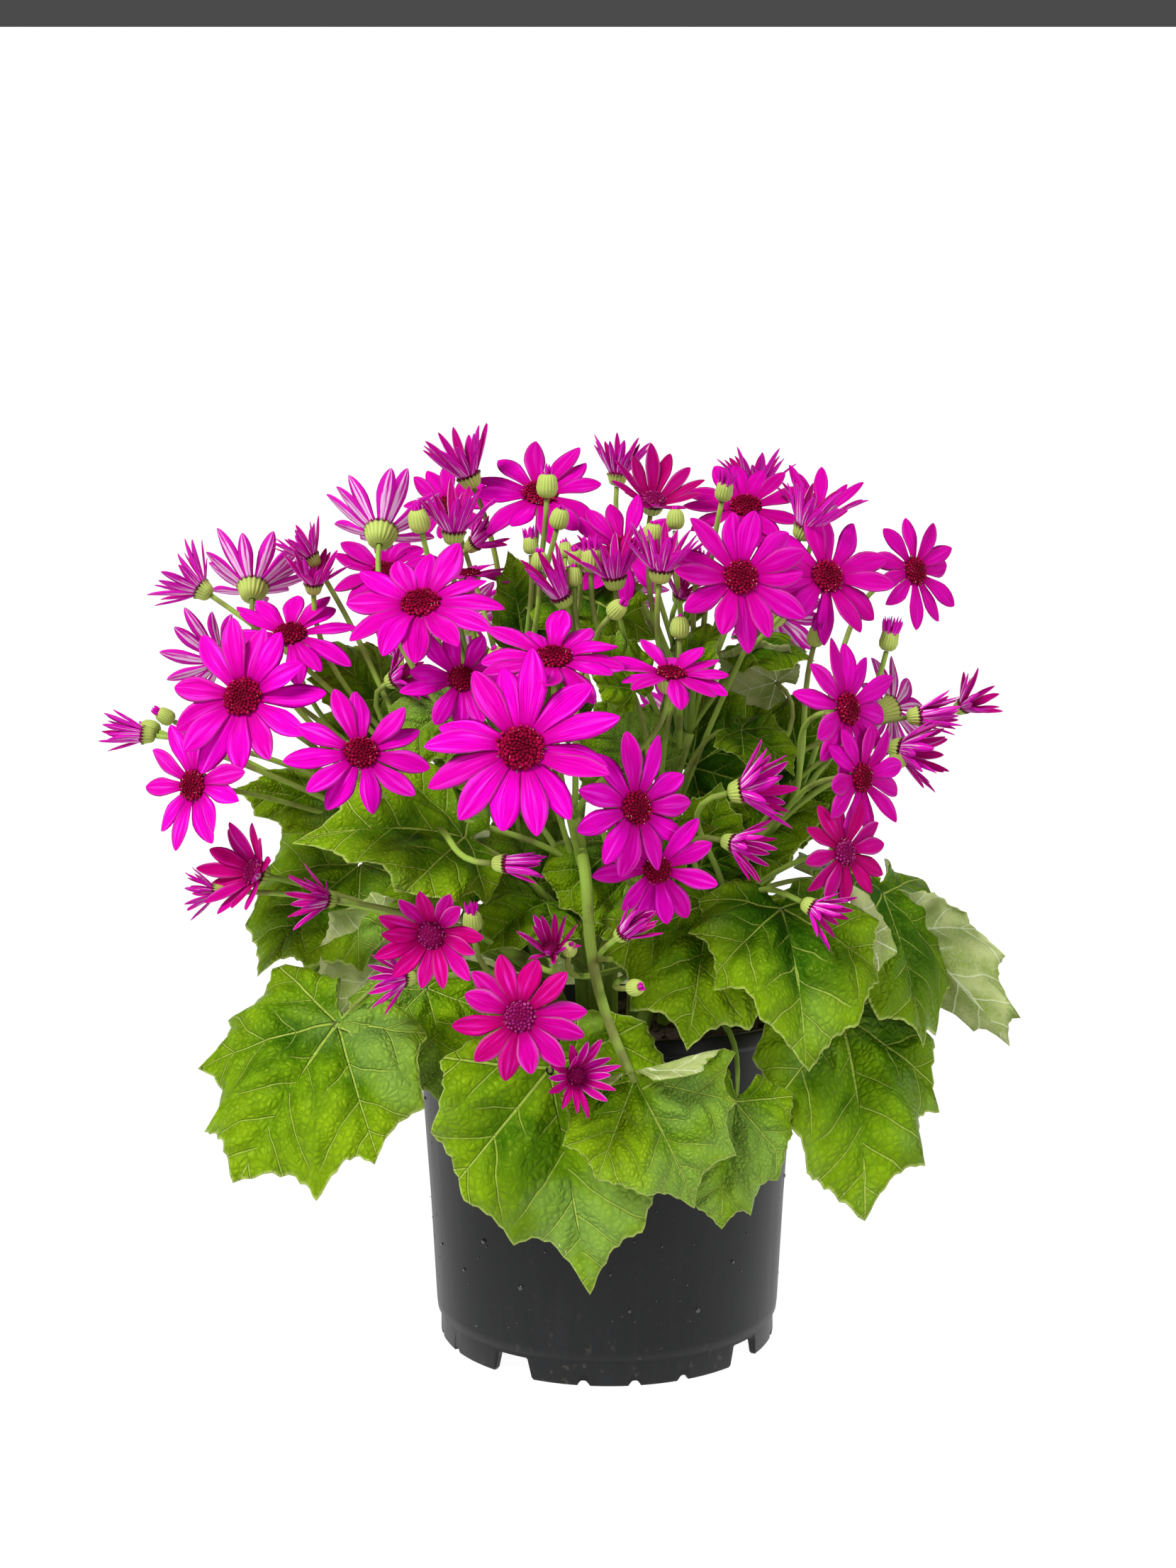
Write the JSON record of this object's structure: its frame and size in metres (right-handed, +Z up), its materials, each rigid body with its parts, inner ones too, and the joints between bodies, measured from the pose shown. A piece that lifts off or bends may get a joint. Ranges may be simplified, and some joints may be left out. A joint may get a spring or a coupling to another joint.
{
  "type": "potted cineraria",
  "caption": "Flowering cineraria in a round black nursery pot, with lobed leaves hanging over the rim under a broad dome of magenta daisy flowers.",
  "frame": {"origin": "The point on the ground plane under the middle of the whole plant's bounding box, at the height of the pot's feet.", "axes": "+Z is up, -Y is the front, with the largest flower facing it, and +X is to the right seen from the front."},
  "size_m": [0.384, 0.2934, 0.3964],
  "materials": {
    "pot_plastic": "satin",
    "peat": "matte",
    "foliage": "matte",
    "magenta_petals": "matte",
    "crimson_petals": "matte",
    "young_petals": "matte",
    "disc_florets": "matte"
  },
  "bodies": {
    "root": {"pot": "pot_plastic", "soil": "peat", "bloom_01_rays": "magenta_petals", "bloom_01_disc": "disc_florets", "bloom_02_rays": "magenta_petals", "bloom_02_disc": "disc_florets", "bloom_03_rays": "magenta_petals", "bloom_03_disc": "disc_florets", "bloom_04_rays": "magenta_petals", "bloom_04_disc": "disc_florets", "bloom_05_rays": "magenta_petals", "bloom_05_disc": "disc_florets", "bloom_06_rays": "magenta_petals", "bloom_06_disc": "disc_florets", "bloom_07": "crimson_petals", "bloom_08": "magenta_petals", "bloom_09": "magenta_petals", "bloom_10": "magenta_petals", "bloom_11": "magenta_petals", "bloom_12": "magenta_petals", "bloom_13": "magenta_petals", "bloom_14": "crimson_petals", "bloom_15": "magenta_petals", "bloom_16": "magenta_petals", "bloom_17": "magenta_petals", "bloom_18": "magenta_petals", "bloom_19": "magenta_petals", "bloom_20": "magenta_petals", "bloom_21": "magenta_petals", "bloom_22": "magenta_petals", "bloom_23": "magenta_petals", "bloom_24": "magenta_petals", "bloom_25": "crimson_petals", "bloom_26": "magenta_petals", "bloom_27": "crimson_petals", "bloom_28": "crimson_petals", "bloom_29": "magenta_petals", "bloom_30": "magenta_petals", "bloom_31": "magenta_petals", "bloom_32": "magenta_petals", "bloom_33": "magenta_petals", "bloom_34": "magenta_petals", "half_open_01": "young_petals", "half_open_02": "young_petals", "half_open_03": "young_petals", "half_open_04": "young_petals", "half_open_05": "young_petals", "half_open_06": "young_petals", "half_open_07": "young_petals", "half_open_08": "young_petals", "half_open_09": "young_petals", "half_open_10": "young_petals", "leafy_stem_left": "foliage", "leafy_stem_top_left": "foliage", "leafy_stem_top_right": "foliage", "leafy_stem_right": "foliage", "leafy_stem_front": "foliage", "leafy_stem_front_right": "foliage", "leafy_stem_front_left": "foliage", "leafy_stem_back": "foliage"}
  },
  "joints": []
}
